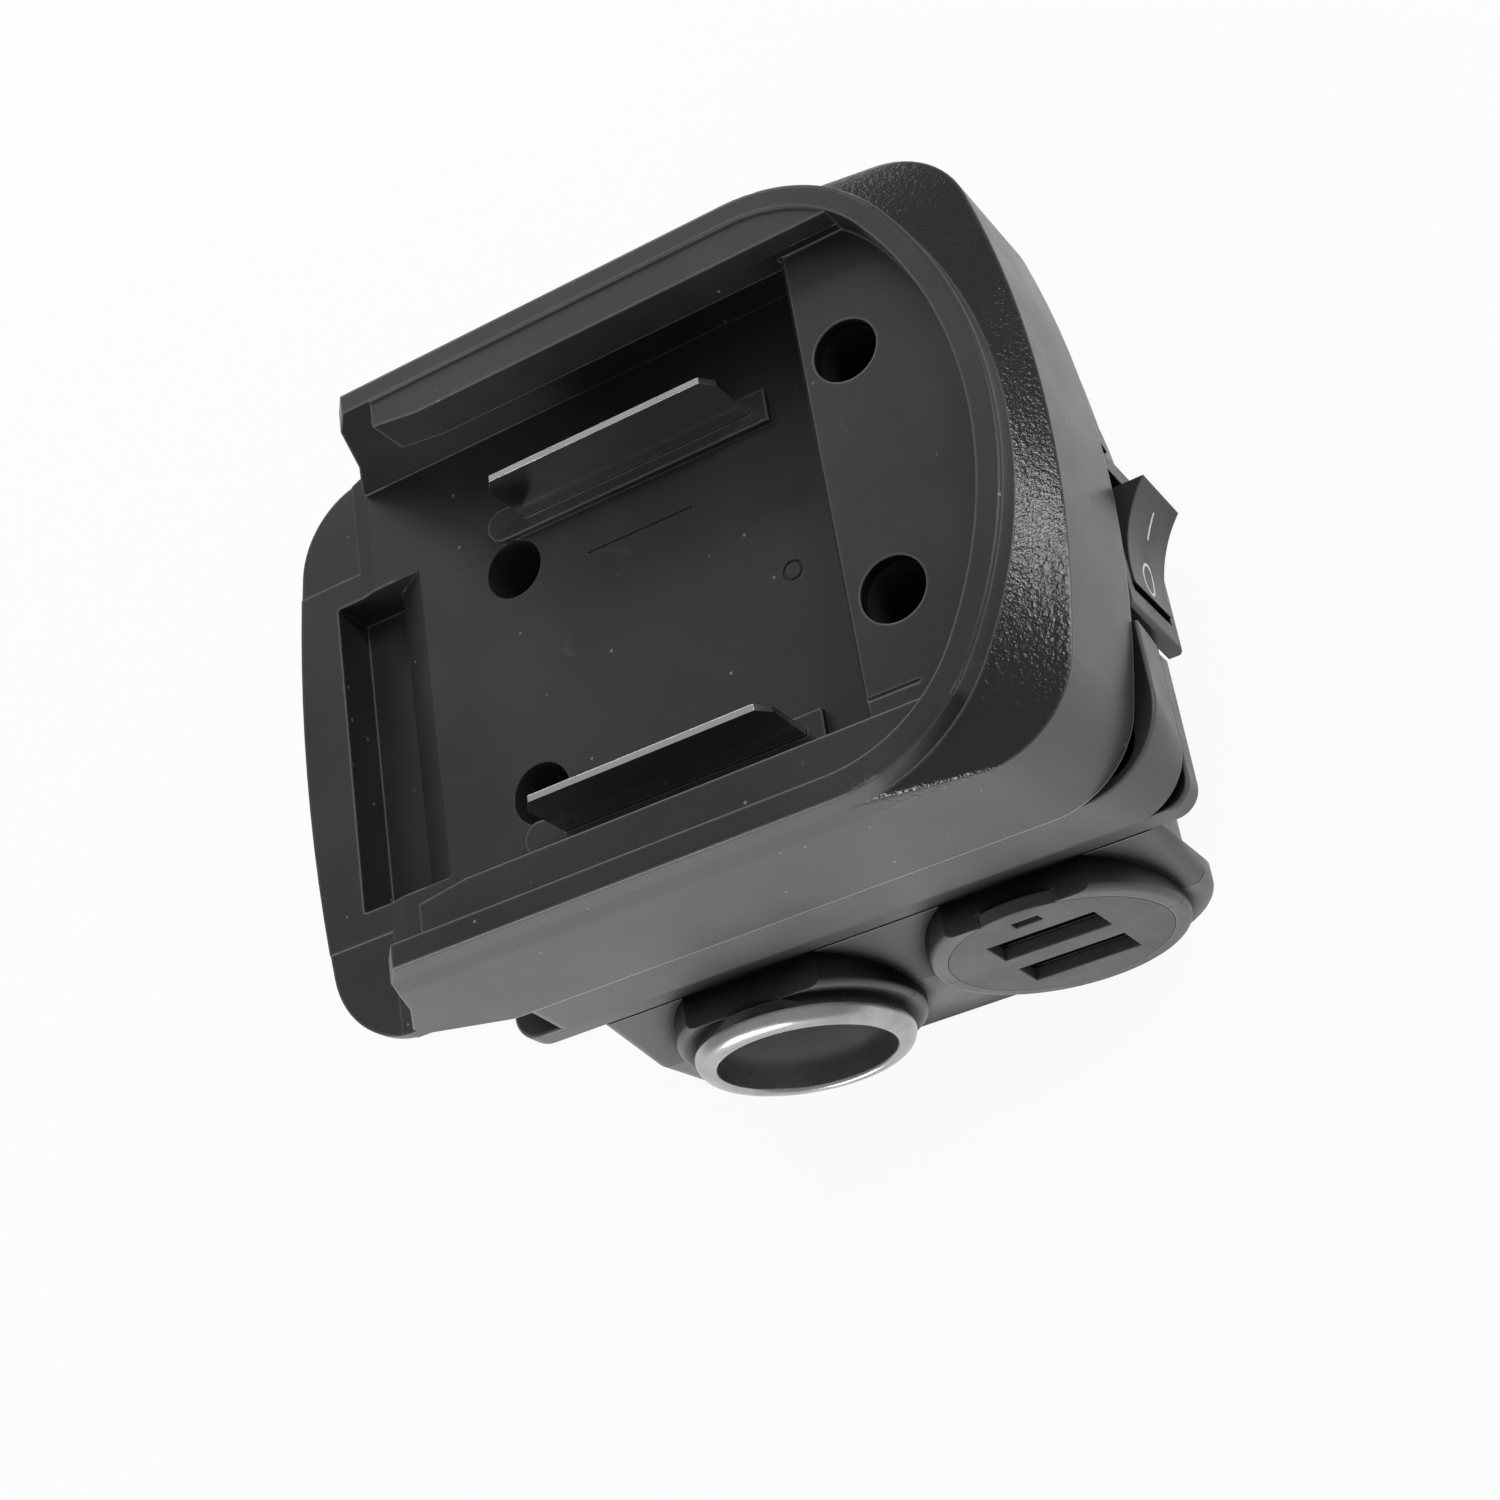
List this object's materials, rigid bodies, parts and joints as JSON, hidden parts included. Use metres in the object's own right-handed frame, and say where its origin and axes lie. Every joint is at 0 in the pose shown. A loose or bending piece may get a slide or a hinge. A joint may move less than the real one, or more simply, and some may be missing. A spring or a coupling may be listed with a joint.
{
  "type": "battery adapter",
  "caption": "Slide-on adapter for a flat tool battery: railed dock with contact blades on a body with a 12 V socket, a double USB panel and a rocker switch.",
  "frame": {"origin": "middle of the flat back face, half way along the dock and on its centre line", "axes": "+Z from the back face up to the rails of the dock, +X along the rails to the closed end, and both sockets face -Y"},
  "size_m": [0.1074, 0.0835, 0.064],
  "materials": {
    "dock_plastic": "fine moulded texture",
    "case_plastic": "satin",
    "panel_plastic": "satin",
    "blade_metal": "nickel plated",
    "chrome": "polished",
    "insulator": "matte",
    "contact_brass": "bright",
    "contact_gold": "plated",
    "port_steel": "satin",
    "port_insulator": "matte",
    "circuit_board": "lacquered",
    "led_lens": "clear tinted",
    "switch_plastic": "semi-gloss",
    "rocker_plastic": "gloss",
    "spring_steel": "bright wire",
    "ferrite": "matte",
    "capacitor_can": "sleeved",
    "chip_epoxy": "matte",
    "fuse_case": "moulded",
    "screw_steel": "black zinc",
    "red_insulation": "soft vinyl",
    "black_insulation": "soft vinyl"
  },
  "bodies": {
    "base": {"dock_shell": "dock_plastic", "mid_shell": "case_plastic", "body_upper": "case_plastic", "body_lower": "case_plastic", "terminal_positive": "blade_metal", "terminal_negative": "blade_metal", "socket_barrel": "chrome", "socket_insulator": "insulator", "centre_contact": "contact_brass", "centre_terminal": "contact_brass", "ground_terminal": "contact_brass", "usb_panel": "panel_plastic", "usb_port_upper": "port_steel", "usb_port_lower": "port_steel", "usb_tongues": "port_insulator", "usb_pins": "contact_gold", "usb_board": "circuit_board", "led_lens": "led_lens", "led_legs": "port_steel", "switch_housing": "switch_plastic", "switch_common_terminal": "contact_brass", "switch_load_terminal": "contact_brass", "converter_board": "circuit_board", "inductor": "ferrite", "capacitors": "capacitor_can", "regulator_chips": "chip_epoxy", "board_fuse": "fuse_case", "dock_screws": "screw_steel", "body_screws": "screw_steel", "wire_battery_positive": "red_insulation", "wire_battery_negative": "black_insulation", "wire_switch_load": "red_insulation", "wire_socket_positive": "red_insulation", "wire_socket_negative": "black_insulation", "wires_usb": "red_insulation"},
    "rocker": {"switch_rocker": "rocker_plastic", "switch_plunger": "contact_brass", "plunger_spring": "spring_steel"},
    "lever": {"contact_lever": "contact_brass"}
  },
  "joints": [
    {"name": "rocker_tilt", "type": "hinge", "parent": "base", "child": "rocker", "pos_m": [0.04985, -0.0064, 0.0342], "axis": [0, 0, 1], "range_deg": [0, 34]},
    {"name": "lever_tilt", "type": "hinge", "parent": "base", "child": "lever", "pos_m": [0.04105, -0.0064, 0.0342], "axis": [0, 0, 1], "range_deg": [-14, 0]}
  ],
  "couplings": [
    {"joint": "lever_tilt", "follows": "rocker_tilt", "ratio": -0.4117}
  ]
}
